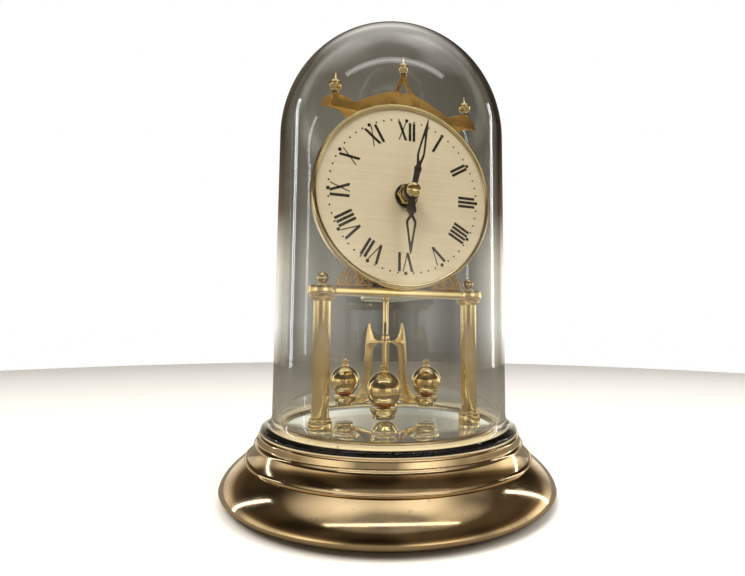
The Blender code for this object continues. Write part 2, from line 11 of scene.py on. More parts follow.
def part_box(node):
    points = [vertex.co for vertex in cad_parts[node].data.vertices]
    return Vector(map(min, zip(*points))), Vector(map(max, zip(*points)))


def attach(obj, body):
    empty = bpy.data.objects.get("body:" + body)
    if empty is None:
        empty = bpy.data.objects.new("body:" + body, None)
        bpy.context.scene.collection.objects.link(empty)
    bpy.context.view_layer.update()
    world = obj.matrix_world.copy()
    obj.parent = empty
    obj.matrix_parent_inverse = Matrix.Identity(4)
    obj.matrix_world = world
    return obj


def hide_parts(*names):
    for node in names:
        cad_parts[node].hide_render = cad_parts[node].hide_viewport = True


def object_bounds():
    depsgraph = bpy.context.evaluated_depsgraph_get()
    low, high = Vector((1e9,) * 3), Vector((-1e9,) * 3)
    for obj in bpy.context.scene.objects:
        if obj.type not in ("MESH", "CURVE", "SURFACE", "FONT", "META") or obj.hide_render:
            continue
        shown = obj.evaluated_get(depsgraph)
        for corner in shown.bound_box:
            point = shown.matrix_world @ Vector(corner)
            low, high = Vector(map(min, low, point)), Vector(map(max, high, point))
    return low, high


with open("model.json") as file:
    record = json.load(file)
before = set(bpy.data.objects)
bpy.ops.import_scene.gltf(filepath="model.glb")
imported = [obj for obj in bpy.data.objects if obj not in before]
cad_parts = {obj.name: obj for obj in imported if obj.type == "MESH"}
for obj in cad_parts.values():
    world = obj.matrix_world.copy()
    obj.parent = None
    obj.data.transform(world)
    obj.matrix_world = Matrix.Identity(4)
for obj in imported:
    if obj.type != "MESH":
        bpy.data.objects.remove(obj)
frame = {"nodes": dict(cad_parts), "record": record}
cad_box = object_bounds()

MM = 0.001
ROOT = "clock_frame"
ORIGIN = (0, 0, 0)
ON_AXIS = 1e-6                  # a radius below this is a point on the axis
BALL_ANGLES = {"front": -107.8, "right": 12.2, "left": 132.2}       # about the pendulum's axis
BALL_REACH = 25.7               # from the pendulum's axis to the middle of a ball
MINUTE_ANGLE = 12.0             # clockwise from twelve
HOUR_ANGLE = 181.0
COLOUR_A, COLOUR_B, COLOUR_OUT = 6, 7, 2        # the colour sockets of a Mix node
FLOOR_R = 0.95                  # in metres


# Places, read from the frame

def low(node):
    return Vector(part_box(node)[0])


def high(node):
    return Vector(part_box(node)[1])


def middle(node):
    return (low(node) + high(node)) / 2


DIAL = Vector((middle("bezel").x, low("dial_plate").y, middle("bezel").z))      # centre of the dial's face
HUB = middle("pendulum_hub")
PENDULUM = Vector((HUB.x, HUB.y, low("pendulum_hub").z))        # foot of the pendulum's hub


# Outlines, in millimetres

def arc(centre, radius, start, end, count):
    """Points on an arc, angles in degrees."""
    points = []
    for i in range(count):
        angle = math.radians(start + (end - start) * i / (count - 1))
        points.append((centre[0] + radius * math.cos(angle), centre[1] + radius * math.sin(angle)))
    return points


def circle(radius, count=48, centre=(0, 0)):
    return arc(centre, radius, 0, 360, count + 1)[:-1]


def bend(start, corner, end, count):
    """Points on a smooth bend from start to end, pulled towards corner; start is left out."""
    points = []
    for i in range(1, count + 1):
        t = i / count
        points.append(tuple((1 - t) ** 2 * a + 2 * t * (1 - t) * b + t * t * c
                            for a, b, c in zip(start, corner, end)))
    return points


def mirrored(half):
    """Closes a right-hand half outline with its mirror image."""
    return half + [(-x, y) for x, y in reversed(half) if abs(x) > 0.001]


def rounded(points, radius, closed=True, count=4):
    """The outline with each corner rounded off by up to radius."""
    result = []
    n = len(points)
    for i, point in enumerate(points):
        if not closed and i in (0, n - 1):
            result.append(point)
            continue
        here = Vector(point)
        before, after = Vector(points[i - 1]) - here, Vector(points[(i + 1) % n]) - here
        if before.length < 1e-6 or after.length < 1e-6 or before.angle(after) > math.radians(172):
            result.append(point)
            continue
        reach = min(radius, before.length * 0.45, after.length * 0.45)
        start, end = here + before.normalized() * reach, here + after.normalized() * reach
        result += [tuple(start)] + bend(tuple(start), point, tuple(end), count)
    return result


def smooth(points, count=5, closed=True):
    """A smooth curve through the points (Catmull-Rom)."""
    n = len(points)
    result = []
    for i in range(n if closed else n - 1):
        near = [(i + k) % n if closed else min(max(i + k, 0), n - 1) for k in (-1, 0, 1, 2)]
        before, start, end, after = (Vector(points[k]) for k in near)
        for step in range(count):
            t = step / count
            v = 0.5 * (2 * start + (end - before) * t + (2 * before - 5 * start + 4 * end - after) * t * t
                       + (3 * start - before - 3 * end + after) * t ** 3)
            result.append(tuple(v))
    return result if closed else result + [tuple(points[-1])]


def turned_by(points, degrees):
    c, s = math.cos(math.radians(degrees)), math.sin(math.radians(degrees))
    return [(c * x - s * y, s * x + c * y) for x, y in points]


# Mesh makers

def finish_piece(name, bm, material, body, nodes=(), sharp=35):
    bmesh.ops.recalc_face_normals(bm, faces=bm.faces)
    mesh = bpy.data.meshes.new(name)
    bm.to_mesh(mesh)
    bm.free()
    mesh.shade_smooth()
    mesh.set_sharp_from_angle(angle=math.radians(sharp))
    return register(bpy.data.objects.new(name, mesh), material, body, nodes)


def register(piece, material, body, nodes=()):
    """Links a piece, gives it its material and body, and hides the CAD nodes that it replaces."""
    bpy.context.scene.collection.objects.link(piece)
    piece.data.materials.clear()
    piece.data.materials.append(MATERIALS[material])
    bpy.context.view_layer.update()
    if nodes:
        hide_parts(*nodes)
    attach(piece, body)
    return piece


# Where a piece's own Z axis points
FACES = {"up": Matrix.Identity(3), "front": Matrix(((1, 0, 0), (0, 0, -1), (0, 1, 0)))}


def bridge(bm, a, b, steps):
    """Faces between two rings, either of which may be a single point."""
    for k in range(steps):
        corners = [a[k % len(a)], a[(k + 1) % len(a)], b[(k + 1) % len(b)], b[k % len(b)]]
        distinct = list(dict.fromkeys(corners))
        if len(distinct) > 2:
            bm.faces.new(distinct)


def lathe(name, profile, at, material, body=ROOT, nodes=(), axis="up", steps=96, sharp=35):
    """A turned piece from (radius, height) points in millimetres. Points on the axis close its ends."""
    bm = bmesh.new()
    rings = []
    for r, h in profile:
        if r < ON_AXIS:
            rings.append([bm.verts.new((0, 0, h * MM))])
            continue
        rings.append([bm.verts.new((r * MM * math.cos(a), r * MM * math.sin(a), h * MM))
                      for a in (2 * math.pi * k / steps for k in range(steps))])
    closed = profile[0][0] > ON_AXIS
    for i in range(len(rings) if closed else len(rings) - 1):
        bridge(bm, rings[i], rings[(i + 1) % len(rings)], steps)
    bm.transform(Matrix.Translation(at) @ FACES[axis].to_4x4())
    return finish_piece(name, bm, material, body, nodes, sharp)


def sheet_metal(name, loops, thickness, at, material, body=ROOT, nodes=(), facing=FACES["front"],
                edge=0.12):
    """A flat piece with softly rounded edges, from closed outlines: the first outside, the others holes."""
    curve = bpy.data.curves.new(name, "CURVE")
    curve.dimensions = "2D"
    curve.fill_mode = "BOTH"
    curve.extrude = (thickness / 2 - edge) * MM
    curve.bevel_depth = edge * MM
    curve.bevel_resolution = 2
    curve.offset = -edge * MM
    for loop in loops:
        spline = curve.splines.new("POLY")
        spline.points.add(len(loop) - 1)
        for point, (x, y) in zip(spline.points, loop):
            point.co = (x * MM, y * MM, 0.0, 1.0)
        spline.use_cyclic_u = True
    flat = bpy.data.objects.new(name + "_outline", curve)
    bpy.context.scene.collection.objects.link(flat)
    graph = bpy.context.evaluated_depsgraph_get()
    mesh = bpy.data.meshes.new_from_object(flat.evaluated_get(graph))
    bpy.data.objects.remove(flat)
    bm = bmesh.new()
    bm.from_mesh(mesh)
    bmesh.ops.remove_doubles(bm, verts=bm.verts, dist=2e-6)
    bm.transform(Matrix.Translation(at) @ facing.to_4x4())
    return finish_piece(name, bm, material, body, nodes, sharp=30)


# Materials

MATERIALS = {}


class Tree:
    """A node tree, with short ways to add nodes and fill their sockets."""

    def __init__(self, owner):
        owner.use_nodes = True
        self.tree = owner.node_tree

    def fill(self, socket, value):
        if isinstance(value, bpy.types.NodeSocket):
            self.tree.links.new(value, socket)
        else:
            socket.default_value = value

    def add(self, kind, **inputs):
        node = self.tree.nodes.new(kind)
        for key, value in inputs.items():
            self.fill(node.inputs[key.replace("_", " ")], value)
        return node

    def calculate(self, operation, *values):
        node = self.add("ShaderNodeMath")
        node.operation = operation
        for socket, value in zip(node.inputs, values):
            self.fill(socket, value)
        return node.outputs["Value"]

    def ramp(self, value, start, end, low_value, high_value):
        """The value carried over from start..end to low_value..high_value, and held past both ends."""
        node = self.add("ShaderNodeMapRange", Value=value, From_Min=start, From_Max=end, To_Min=low_value,
                        To_Max=high_value)
        return node.outputs["Result"]

    def mix(self, share, first, second):
        node = self.add("ShaderNodeMix")
        node.data_type = "RGBA"
        self.fill(node.inputs["Factor"], share)
        for index, colour in ((COLOUR_A, first), (COLOUR_B, second)):
            linked = isinstance(colour, bpy.types.NodeSocket)
            self.fill(node.inputs[index], colour if linked else (*colour, 1.0))
        return node.outputs[COLOUR_OUT]


class Finish(Tree):
    """A material, with short ways to add what the clock's surfaces need."""

    def __init__(self, name):
        MATERIALS[name] = bpy.data.materials.new(name)
        super().__init__(MATERIALS[name])
        self.shader = self.tree.nodes["Principled BSDF"]
        self.place = self.add("ShaderNodeTexCoord").outputs["Object"]

    def link(self, output, socket):
        self.tree.links.new(output, self.shader.inputs[socket])

    def set(self, **inputs):
        for key, value in inputs.items():
            self.shader.inputs[key.replace("_", " ")].default_value = value

    def stretched(self, scale):
        return self.add("ShaderNodeMapping", Vector=self.place, Scale=scale).outputs["Vector"]

    def noise(self, scale, detail=4.0, at=None, roughness=0.55):
        return self.add("ShaderNodeTexNoise", Vector=at or self.place, Scale=scale, Detail=detail,
                        Roughness=roughness).outputs["Fac"]

    def bump(self, height, strength, distance=0.00005):
        node = self.add("ShaderNodeBump", Height=height, Strength=strength, Distance=distance)
        self.link(node.outputs["Normal"], "Normal")

    def around_axis(self):
        """(distance from the object's Z axis, height): what a spinning tool leaves lines along."""
        split = self.add("ShaderNodeSeparateXYZ", Vector=self.place)
        flat = self.add("ShaderNodeCombineXYZ", X=split.outputs["X"], Y=split.outputs["Y"])
        length = self.add("ShaderNodeVectorMath")
        length.operation = "LENGTH"
        self.fill(length.inputs[0], flat.outputs["Vector"])
        wound = self.add("ShaderNodeCombineXYZ", X=length.outputs["Value"], Y=split.outputs["Z"])
        return wound.outputs["Vector"]


def metal(name, colour, shade, roughness, spun=False, grain=0.12, wear=0.5):
    """Lacquered or plated metal: clouded colour, uneven polish, fine scratches and tool lines."""
    n = Finish(name)
    clouds = n.ramp(n.noise(45.0, 5.0), 0.35, 0.7, 0.0, 1.0)
    spots = n.ramp(n.noise(420.0, 3.0), 0.60, 0.74, 0.0, wear)
    worn = tuple(0.72 * c for c in shade)
    n.link(n.mix(spots, n.mix(clouds, colour, shade), worn), "Base Color")
    n.link(n.ramp(n.noise(130.0, 6.0), 0.3, 0.75, roughness * 0.7, roughness * 1.5), "Roughness")
    if spun:
        lines = n.noise(3200.0, 2.0, n.around_axis())
    else:
        lines = n.noise(900.0, 3.0, n.stretched((1.0, 1.0, 6.0)))
    n.bump(lines, grain, 0.00002)
    n.set(Metallic=1.0)
    return n


def plastic(name, colour, roughness, grain=0.25):
    """Moulded plastic with a fine spark-eroded grain and slightly uneven gloss."""
    n = Finish(name)
    lighter = tuple(min(1.0, c * 1.25 + 0.004) for c in colour)
    n.link(n.mix(n.noise(70.0), colour, lighter), "Base Color")
    n.link(n.ramp(n.noise(300.0), 0.3, 0.7, roughness * 0.85, roughness * 1.15), "Roughness")
    n.bump(n.noise(2600.0, 2.0), grain, 0.00004)


def make_metals():
    metal("base_brass", (0.74, 0.56, 0.33), (0.62, 0.46, 0.26), 0.10, spun=True, grain=0.10)
    metal("polished_brass", (0.92, 0.72, 0.38), (0.80, 0.60, 0.29), 0.08, grain=0.05)
    metal("satin_brass", (0.80, 0.48, 0.14), (0.72, 0.42, 0.12), 0.32, grain=0.30, wear=0.1)
    metal("pale_gold", (0.90, 0.75, 0.44), (0.82, 0.66, 0.36), 0.10, grain=0.06)
    metal("steel", (0.62, 0.62, 0.60), (0.52, 0.52, 0.51), 0.26, grain=0.25)
    metal("copper", (0.72, 0.30, 0.12), (0.60, 0.24, 0.09), 0.32, spun=True, grain=0.8)


def make_mirror():
    mirror = metal("mirror", (0.93, 0.96, 0.92), (0.88, 0.93, 0.89), 0.02, grain=0.01, wear=0.06)
    mirror.link(mirror.ramp(mirror.noise(240.0, 5.0), 0.55, 0.8, 0.015, 0.10), "Roughness")
    mirror.set(Metallic=0.93)


def make_glass():
    glass = Finish("glass")
    glass.set(Base_Color=(0.955, 0.975, 0.965, 1.0), Transmission_Weight=1.0, IOR=1.5)
    glass.link(glass.ramp(glass.noise(55.0, 5.0), 0.62, 0.85, 0.0, 0.05), "Roughness")
    glass.bump(glass.noise(16.0, 1.0), 0.05, 0.0002)


def make_seat_painted_light():
    """A duller, paler gold, half lacquer, that lightens the groove under the dome's foot: partly a brushed
    seat, partly painted light that stands in for the brightness seen through the glass foot.
    """
    seat = metal("seat_gold_painted_light", (0.98, 0.86, 0.60), (0.90, 0.76, 0.50), 0.38, spun=True, grain=0.4)
    seat.set(Metallic=0.45)


def make_dial_finish():
    """Pale gold, brushed from side to side."""
    dial = Finish("dial")
    brushing = dial.noise(420.0, 6.0, dial.stretched((0.03, 1.0, 2.6)), 0.75)
    tone = dial.mix(dial.ramp(brushing, 0.3, 0.7, 0.0, 1.0), (0.93, 0.80, 0.58), (0.78, 0.65, 0.45))
    bloom = dial.ramp(dial.noise(28.0), 0.4, 0.7, 0.0, 0.35)
    dial.link(dial.mix(bloom, tone, (0.95, 0.85, 0.66)), "Base Color")
    dial.link(dial.ramp(brushing, 0.3, 0.7, 0.34, 0.50), "Roughness")
    dial.bump(brushing, 0.18, 0.00004)
    dial.set(Metallic=0.30)


def make_black_paint():
    black = Finish("black_paint")
    black.link(black.mix(black.noise(200.0), (0.012, 0.011, 0.010), (0.028, 0.024, 0.020)), "Base Color")
    black.link(black.ramp(black.noise(500.0), 0.3, 0.7, 0.22, 0.36), "Roughness")
    black.bump(black.noise(1500.0), 0.10, 0.00003)


def make_plastics():
    plastic("black_plastic", (0.030, 0.030, 0.032), 0.40)
    plastic("white_plastic", (0.76, 0.75, 0.70), 0.40)
    plastic("circuit_board", (0.02, 0.20, 0.07), 0.38)
    plastic("battery", (0.07, 0.09, 0.13), 0.26, 0.08)


def make_felt():
    felt = Finish("felt")
    fibres = felt.noise(2400.0, 8.0, roughness=0.8)
    felt.link(felt.mix(fibres, (0.010, 0.055, 0.030), (0.030, 0.120, 0.070)), "Base Color")
    felt.bump(fibres, 0.9, 0.0004)
    felt.set(Roughness=0.95, Sheen_Weight=0.5)


def make_board():
    board = Finish("board")
    flecks = board.noise(900.0, 7.0, roughness=0.75)
    board.link(board.mix(flecks, (0.20, 0.13, 0.08), (0.36, 0.26, 0.17)), "Base Color")
    board.bump(flecks, 0.4, 0.0002)
    board.set(Roughness=0.85)


def dress_cad_nodes():
    """Carried-over CAD solids take the finish of their slot, with soft moulded or cut edges."""
    edges = {"movement_case": 0.8, "movement_cover": 0.4, "movement_stand": 0.5, "drive_case": 0.6,
             "battery_door": 0.3, "suspension_bridge": 0.15, "circuit_board": 0.1}
    for part in frame["record"]["subparts"]:
        node = frame["nodes"][part["node"]]
        node.data.materials.clear()
        node.data.materials.append(MATERIALS[part["material_slot"]])
        if part["node"] in edges:
            bevel = node.modifiers.new("edges", "BEVEL")
            bevel.width = edges[part["node"]] * MM
            bevel.segments = 3
            bevel.limit_method = "ANGLE"
            bevel.angle_limit = math.radians(50)
            bevel.use_clamp_overlap = True


# Base and dome

def make_base():
    """The spun shell: a rim, the dome's seat, a cove, a bead, a bulge and a rolled foot."""
    seat = low("glass_dome").z / MM - 0.3
    rim = rounded([(46.0, 28.0), (50.6, 28.0), (50.6, 30.5), (51.9, 31.0), (53.1, 30.4), (53.3, seat),
                   (61.2, seat), (62.1, 27.3), (62.4, 24.5), (63.6, 23.7)], 0.45, closed=False)
    cove = bend(rim[-1], (64.4, 20.3), (66.3, 18.0), 10)
    bead = smooth([cove[-1], (66.9, 18.05), (67.7, 17.4), (67.8, 16.9), (67.5, 16.3)], 4, False)[1:]
    bulge = bend(bead[-1], (76.8, 10.4), (78.0, 5.1), 26)
    foot = bend(bulge[-1], (76.8, 2.2), (71.0, 0.9), 12)
    inside = [(70.8, 2.0), (75.2, 3.8), (76.8, 5.6), (74.0, 9.6), (66.0, 15.8), (61.4, 22.8), (60.9, 26.9),
              (46.0, 26.9)]
    lathe("base_shell_spun", rim + cove + bead + bulge + foot + inside, ORIGIN, "base_brass",
          nodes=["base_shell"], steps=192, sharp=50)
    ledge = [(61.0, seat + 0.02), (61.0, seat + 0.14), (54.6, seat + 0.14), (53.75, seat + 0.5),
             (53.6, seat + 2.2), (53.45, seat + 2.2), (53.45, seat + 0.02)]
    dome_seat = lathe("dome_seat", ledge, ORIGIN, "pale_gold", steps=160)
    # The seat ring's paler gold is partly painted light, standing in for the brightness seen through the
    # glass foot.
    dome_seat.data.materials[0] = MATERIALS["seat_gold_painted_light"]


def make_mirror_rim():
    top = high("mirror_plate").z / MM
    lip = [(50.4, top - 0.2), (50.4, top + 0.35), (49.6, top + 0.45), (49.1, top + 0.02),
           (49.1, top + 0.01)]
    lathe("mirror_rim", rounded(lip, 0.15), ORIGIN, "pale_gold", steps=192)


def make_dome():
    """Blown glass: half a sphere on a straight wall, which flares into a rolled foot."""
    radius, wall, foot_r = 56.2, 2.0, 61.2
    inner = radius - wall
    top, foot = high("glass_dome").z / MM, low("glass_dome").z / MM
    wall_top, wall_foot, pole = 110.0, 37.0, 88.5
    centre = (0, top - radius)
    outside = [(0.0, top)] + arc(centre, radius, pole, 0, 56) + [(radius, wall_top), (radius, wall_foot)]
    flare = bend(outside[-1], (radius, 31.0), (60.0, 30.3), 10)
    lip = bend(flare[-1], (foot_r, 30.2), (foot_r, 29.2), 5)
    lip += bend(lip[-1], (foot_r, foot), (60.4, foot), 4)
    under = [(inner + 2.6, foot)]
    under += bend(under[0], (inner, foot + 0.3), (inner, 34.0), 8)
    inside = [(inner, wall_top)] + arc(centre, inner, 0, pole, 56) + [(0.0, top - wall)]
    dome = lathe("glass_dome_blown", outside + flare + lip + under + inside, ORIGIN, "glass", "dome",
                 ["glass_dome"], steps=192, sharp=60)
    dome.visible_shadow = False


# Columns, beam and brackets

def make_columns():
    """Turned columns on plinths, each capped by a ball finial."""
    bore = 1.5
    for side in ("left", "right"):
        at = Vector((middle(f"plinth_{side}").x, middle(f"plinth_{side}").y, 0))
        base = low(f"plinth_{side}").z / MM
        top = high(f"column_{side}").z / MM
        plinth = [(5.3, base), (5.3, base + 3.7), (5.0, base + 4.2), (4.6, base + 4.3), (4.75, base + 4.9),
                  (4.6, base + 5.6), (4.2, base + 5.9), (bore, base + 5.9), (bore, base)]
        lathe(f"plinth_{side}_turned", rounded(plinth, 0.35), at, "polished_brass",
              nodes=[f"plinth_{side}"])
        column = [(3.9, base + 6.2), (3.9, top - 2.5), (4.3, top - 2.2), (4.9, top - 2.0),
                  (5.15, top - 1.6), (5.15, top - 1.35), (5.85, top - 1.2), (5.85, top - 0.5), (5.4, top),
                  (bore, top), (bore, base + 6.2)]
        lathe(f"column_{side}_turned", rounded(column, 0.3), at, "polished_brass",
              nodes=[f"column_{side}"])
        z = low(f"ball_finial_{side}").z / MM
        foot = [(0, z), (2.35, z), (2.4, z + 0.5), (1.5, z + 0.7), (1.1, z + 1.0)]
        ball = arc((0, z + 3.4), 2.57, -62, 90, 22)
        lathe(f"ball_finial_{side}_turned", foot + ball[:-1] + [(0, z + 5.97)], at, "polished_brass",
              nodes=[f"ball_finial_{side}"], steps=64)


def make_beam():
    """The cast bar across the columns, with a rounded tongue back to the pendulum's axis."""
    column = middle("column_right")
    x, y, axis_y = column.x / MM, column.y / MM, PENDULUM.y / MM
    half_width, end_r, tongue_r, rod_bore, pendulum_bore = 3.6, 6.6, 13.0, 1.5, 2.5
    end = arc((x, y), end_r, -147, 147, 60)
    shoulder = (24.0, y + half_width)
    back = bend(shoulder, (14.0, y + half_width), (tongue_r, axis_y - 3.0), 14)
    tongue = arc((0, axis_y), tongue_r, 0, 90, 24)
    outline = mirrored([(0.0, y - half_width)] + end + [shoulder] + back + tongue)
    holes = [circle(rod_bore, 24, (s * x, y)) for s in (-1, 1)] + [circle(pendulum_bore, 32, (0, axis_y))]
    thick = (high("beam").z - low("beam").z) / MM
    sheet_metal("beam_cast", [outline] + holes, thick, Vector((0, 0, middle("beam").z)), "polished_brass",
                nodes=["beam"], facing=FACES["up"], edge=0.45)


def wire(name, routes, thickness, at, material, nodes):
    """Scroll work along (points, taper) routes in the plane of the dial."""
    curve = bpy.data.curves.new(name, "CURVE")
    curve.dimensions = "3D"
    curve.bevel_depth = thickness / 2 * MM
    curve.bevel_resolution = 3
    curve.use_fill_caps = True
    for route, taper in routes:
        spline = curve.splines.new("POLY")
        spline.points.add(len(route) - 1)
        for i, (point, (x, y)) in enumerate(zip(spline.points, route)):
            point.co = (x * MM, 0.0, y * MM, 1.0)
            point.radius = 1.0 - taper * i / (len(route) - 1)
    curve.transform(Matrix.Translation(at))
    register(bpy.data.objects.new(name, curve), material, ROOT, nodes)


def spiral(centre, start_r, end_r, start, turns, count=26):
    """A scroll that winds inwards from start_r to end_r."""
    points = []
    for i in range(count):
        t = i / (count - 1)
        r = start_r + (end_r - start_r) * t ** 0.8
        angle = math.radians(start + 360 * turns * t)
        points.append((centre[0] + r * math.cos(angle), centre[1] + r * math.sin(angle)))
    return points


def make_scrolls():
    """Pierced scroll brackets between the beam and the dial: volutes, leaves and a foot rail."""
    volutes = (((27.4, 2.6), 2.6, 0.5, -60, 1.4), ((23.4, 4.3), 2.4, 0.4, -120, -1.5),
               ((19.7, 2.3), 1.9, 0.4, -80, 1.4), ((16.9, 1.3), 1.1, 0.3, 200, -1.2))
    leaves = (([(29.9, 0.5), (29.9, 2.8), (28.4, 5.0), (27.2, 6.7), (25.6, 6.9)], 5, 0.3),
              ([(27.2, 0.5), (25.2, 1.2), (24.3, 3.2), (25.6, 5.0)], 5, 0.5),
              ([(23.0, 0.5), (21.6, 1.4), (20.6, 3.6), (21.8, 4.6)], 5, 0.5),
              ([(28.3, 4.9), (26.9, 5.9), (25.4, 5.6), (24.6, 6.5)], 5, 0.5),
              ([(21.9, 4.4), (20.2, 4.6), (18.8, 3.7), (17.4, 3.1), (15.9, 2.2)], 5, 0.4),
              ([(25.6, 0.6), (25.9, 1.5), (25.2, 2.2)], 4, 0.3),
              ([(21.6, 0.6), (21.7, 1.4), (21.1, 2.0)], 4, 0.3))
    rail = [(14.9, 0.45), (30.2, 0.45)]
    routes = [(spiral(*figures), 0.4) for figures in volutes]
    routes += [(smooth(points, count, closed=False), taper) for points, count, taper in leaves]
    routes.append((rail, 0.0))
    for side, s in (("left", -1), ("right", 1)):
        at = Vector((0, middle(f"scroll_{side}").y, low(f"scroll_{side}").z))
        turned = [([(s * x, y) for x, y in route], taper) for route, taper in routes]
        wire(f"scroll_{side}_pierced", turned, 0.95, at, "satin_brass", [f"scroll_{side}"])


# Dial

def make_bezel():
    rim = [(43.5, 0.1), (43.5, -4.4), (42.9, -4.4), (42.9, 0.3), (41.2, 0.3), (41.35, 0.65), (42.0, 1.05),
           (42.7, 1.3), (43.3, 0.9)]
    lathe("bezel_turned", rounded(rim, 0.3), DIAL, "pale_gold", nodes=["bezel"], axis="front", steps=256)


def bar(centre_x, bottom, top, slant, width):
    """A straight stroke of a numeral; slant moves its top and its foot to opposite sides."""
    half = width / 2
    return [(centre_x - slant - half, bottom), (centre_x - slant + half, bottom),
            (centre_x + slant + half, top), (centre_x + slant - half, top)]


def numeral_strokes(text, height):
    """Strokes of a Roman numeral, set from left to right and centred on its own width."""
    thick, thin, gap = 1.3, 0.5, 0.68
    top, bottom = height / 2, -height / 2
    strokes, x = [], 0.0
    for letter in text:
        if letter == "I":
            strokes.append(bar(x + thick / 2, bottom, top, 0.0, thick))
            x += thick + gap
        elif letter == "V":
            spread = 2.3
            strokes.append(bar(x + thick / 2 + spread / 2, bottom, top, -spread / 2, thick))
            strokes.append(bar(x + thick / 2 + spread * 1.45, bottom, top, spread / 2.3, thin))
            x += spread * 2.0 + thick + gap * 0.4
        else:
            spread = 3.4
            strokes.append(bar(x + spread / 2 + thick / 2, bottom, top, -spread / 2, thick))
            strokes.append(bar(x + spread / 2 + thick / 2, bottom, top, spread / 2, thin))
            x += spread + thick + gap
    width = x - gap
    return [[(px - width / 2, py) for px, py in stroke] for stroke in strokes]


def ink_mesh(name, outlines):
    """Printing on the dial: each outline becomes a thin plate of ink, sunk a little into the face."""
    thickness, sink = 0.05, 0.005
    bm = bmesh.new()
    for outline in outlines:
        face = bm.faces.new([bm.verts.new((x * MM, y * MM, 0.0)) for x, y in outline])
        raised = bmesh.ops.extrude_face_region(bm, geom=[face])["geom"]
        corners = [v for v in raised if isinstance(v, bmesh.types.BMVert)]
        bmesh.ops.translate(bm, vec=(0, 0, thickness * MM), verts=corners)
    bm.transform(Matrix.Translation(DIAL + Vector((0, -sink * MM, 0))) @ FACES["front"].to_4x4())
    finish_piece(name, bm, "black_paint", ROOT)


def make_dial_print():
    numerals = ("XII", "I", "II", "III", "IIII", "V", "VI", "VII", "VIII", "IX", "X", "XI")
    centre_r, height, track_r, hour_dot_r, minute_dot_r = 31.0, 8.8, 36.2, 0.85, 0.43
    outlines = []
    for hour, text in enumerate(numerals):
        for stroke in numeral_strokes(text, height):
            outlines.append(turned_by([(x, y + centre_r) for x, y in stroke], -30 * hour))
    ink_mesh("dial_numerals", outlines)
    dots = []
    for minute in range(60):
        radius = hour_dot_r if minute % 5 == 0 else minute_dot_r
        dots.append(turned_by(circle(radius, 14, (0, track_r)), -6 * minute))
    ink_mesh("dial_minute_track", dots)


def make_pediment():
    """The crest behind the dial: a pierced spire, a band that sweeps out to two lobes, and a web behind."""
    spire = smooth([(0.0, 61.0), (1.3, 60.8), (2.0, 59.4), (2.7, 57.4), (3.7, 55.0), (4.9, 53.2),
                    (6.6, 52.0)], 4, False)
    band = bend(spire[-1], (15.0, 49.0), (23.8, 43.7), 18)
    lobe = bend(band[-1], (28.0, 46.6), (32.6, 46.2), 10)
    lobe += bend(lobe[-1], (38.6, 45.8), (39.4, 39.5), 14)
    under = bend(lobe[-1], (30.4, 40.8), (26.6, 34.0), 16)
    web = [(21.0, 29.0), (9.0, 10.0)] + arc((0, 0), 9.0, 0, -90, 16)
    opening = smooth([(0.0, 58.6), (-0.9, 57.0), (-1.7, 54.6), (-2.5, 52.8), (0.0, 52.1), (2.5, 52.8),
                      (1.7, 54.6), (0.9, 57.0)], 5)
    bush_hole = circle(4.3, 32)
    at = Vector((0, middle("pediment").y, DIAL.z))
    sheet_metal("pediment_plate", [mirrored(spire + band + lobe + under + web), opening, bush_hole], 0.8, at,
                "satin_brass", nodes=["pediment"])


def make_finials():
    for name, width in (("finial_left", 1.0), ("finial_right", 1.0), ("finial_centre", 0.85)):
        at = Vector((middle(name).x, middle(name).y, low(name).z))
        foot = [(0, 0), (1.75, 0), (1.8, 0.7), (1.25, 1.0), (1.1, 1.4)]
        bulb = smooth([(1.15, 1.6), (1.5 * width, 2.1), (2.6 * width, 3.0), (3.0 * width, 4.4),
                       (2.3 * width, 5.8), (1.15 * width, 6.6), (0.8, 7.4), (0.5, 8.8)], 5, False)
        tip = [(0.22, 10.5), (0, 10.8)]
        lathe(f"{name}_turned", foot + bulb + tip, at, "polished_brass", nodes=[name], steps=56)


# Hands and centre fixing

def make_hands():
    """Pierced spade hands, drawn pointing to twelve and turned to the time shown."""
    minute = [(1.35, 4.2), (1.45, 8.4), (1.8, 10.4), (1.15, 11.8), (1.25, 13.4), (1.8, 17.0), (1.4, 22.5),
              (0.9, 28.0), (0.42, 32.4), (0.0, 35.3)]
    minute_slot = [(0.0, 13.8), (0.5, 15.2), (0.85, 17.6), (0.6, 21.4), (0.25, 24.8), (0.0, 26.6)]
    hour = [(1.6, 4.2), (1.9, 6.6), (2.35, 8.8), (1.25, 10.2), (1.0, 11.0), (1.9, 12.6), (2.5, 14.2),
            (1.9, 18.0), (1.15, 23.0), (0.5, 27.2), (0.0, 28.8)]
    hour_slot = [(0.0, 11.9), (0.8, 13.0), (1.35, 14.6), (0.9, 18.4), (0.35, 21.8), (0.0, 23.4)]
    for name, edge, slot, bore, hub_r, angle, body in (
            ("minute_hand", minute, minute_slot, 1.35, 3.0, MINUTE_ANGLE, "minute_arbor"),
            ("hour_hand", hour, hour_slot, 2.65, 3.8, HOUR_ANGLE, "hour_tube")):
        hub = arc((0, 0), hub_r, -90, 55, 18)
        outline = mirrored(hub + smooth(edge, 4, False))
        loops = [outline, mirrored(smooth(slot, 4, False)), circle(bore, 28)]
        at = Vector((DIAL.x, middle(name).y, DIAL.z))
        sheet_metal(f"{name}_pressed", [turned_by(loop, -angle) for loop in loops], 0.5, at, "black_paint",
                    body, [name])


